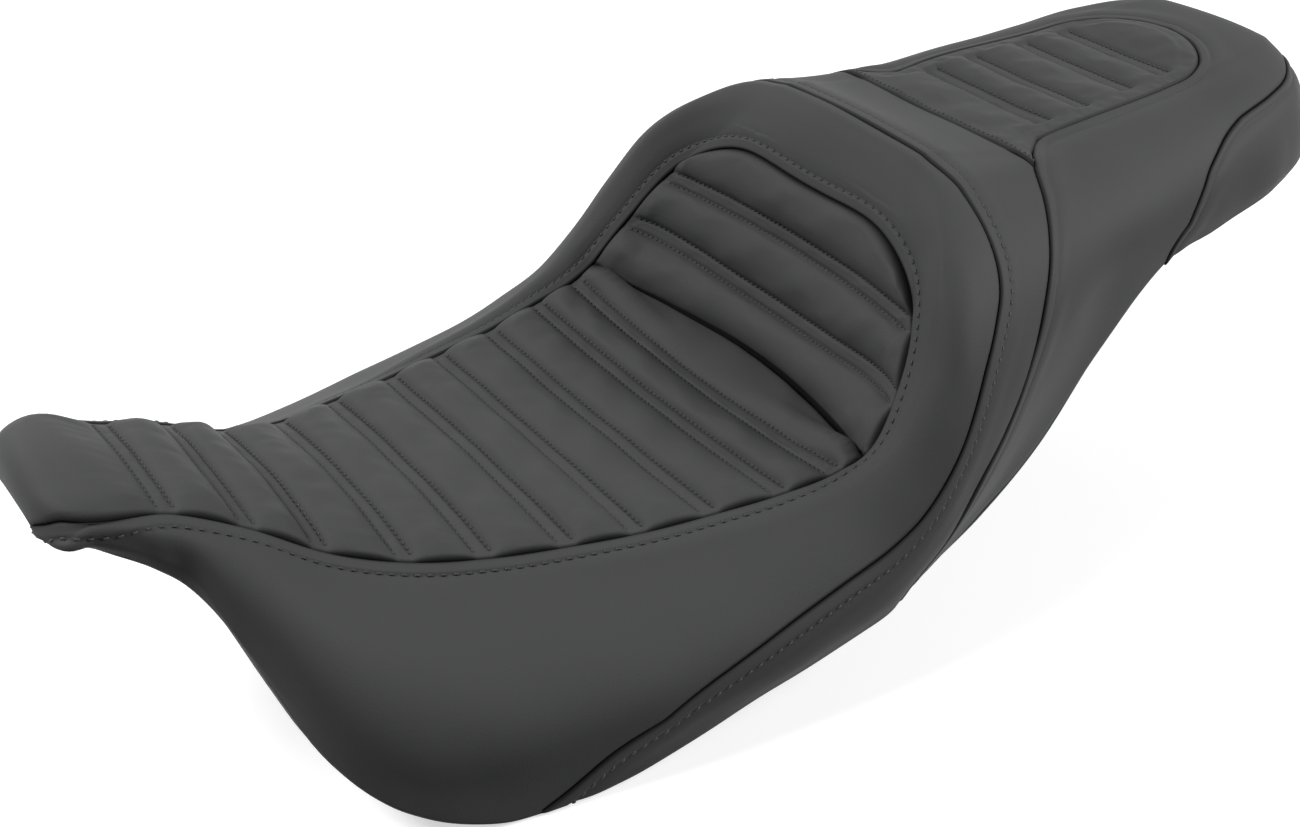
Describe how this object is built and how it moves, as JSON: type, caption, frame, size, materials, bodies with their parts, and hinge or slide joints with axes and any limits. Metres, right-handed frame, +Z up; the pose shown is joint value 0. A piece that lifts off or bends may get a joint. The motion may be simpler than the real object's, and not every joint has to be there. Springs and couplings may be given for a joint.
{
  "type": "motorcycle seat",
  "caption": "Two-up touring motorcycle seat with a deep rider's dish, channelled rolls and stitched seams in black grained vinyl, a bolstered backrest and a narrow passenger part.",
  "frame": {"origin": "middle of the bounding box, at the height of the lowest hem", "axes": "+Y from the nose to the tail, +X to the rider's left, +Z up"},
  "size_m": [0.3756, 0.854, 0.242],
  "materials": {
    "vinyl": "matte black grained vinyl, sewn with black thread",
    "padding": "light grey sew foam with a knitted scrim",
    "foam": "moulded polyurethane foam, cream to amber, with an open-pored skin",
    "pan": "black moulded polypropylene, fine grain",
    "bracket_steel": "black semi-gloss coat",
    "rivet_steel": "zinc-plated, dull",
    "bumper_rubber": "matte black",
    "felt": "charcoal needle felt",
    "staple_steel": "galvanised"
  },
  "bodies": {
    "root": {"driver_seat_panel": "vinyl", "driver_back_panel": "vinyl", "driver_border_panel": "vinyl", "middle_band_panel": "vinyl", "passenger_top_panel": "vinyl", "passenger_side_panel": "vinyl", "rear_skirt_panel": "vinyl", "cover_hem": "vinyl", "driver_seat_padding": "padding", "driver_back_padding": "padding", "passenger_padding": "padding", "driver_foam": "foam", "passenger_foam": "foam", "seat_pan": "pan", "front_tongue": "bracket_steel", "rear_tab": "bracket_steel", "bracket_rivets": "rivet_steel", "bracket_washers": "rivet_steel", "frame_bumpers": "bumper_rubber", "fender_bumpers": "bumper_rubber", "bumper_rivets": "rivet_steel", "bumper_washers": "rivet_steel", "fender_felt": "felt", "staples": "staple_steel"}
  },
  "joints": []
}
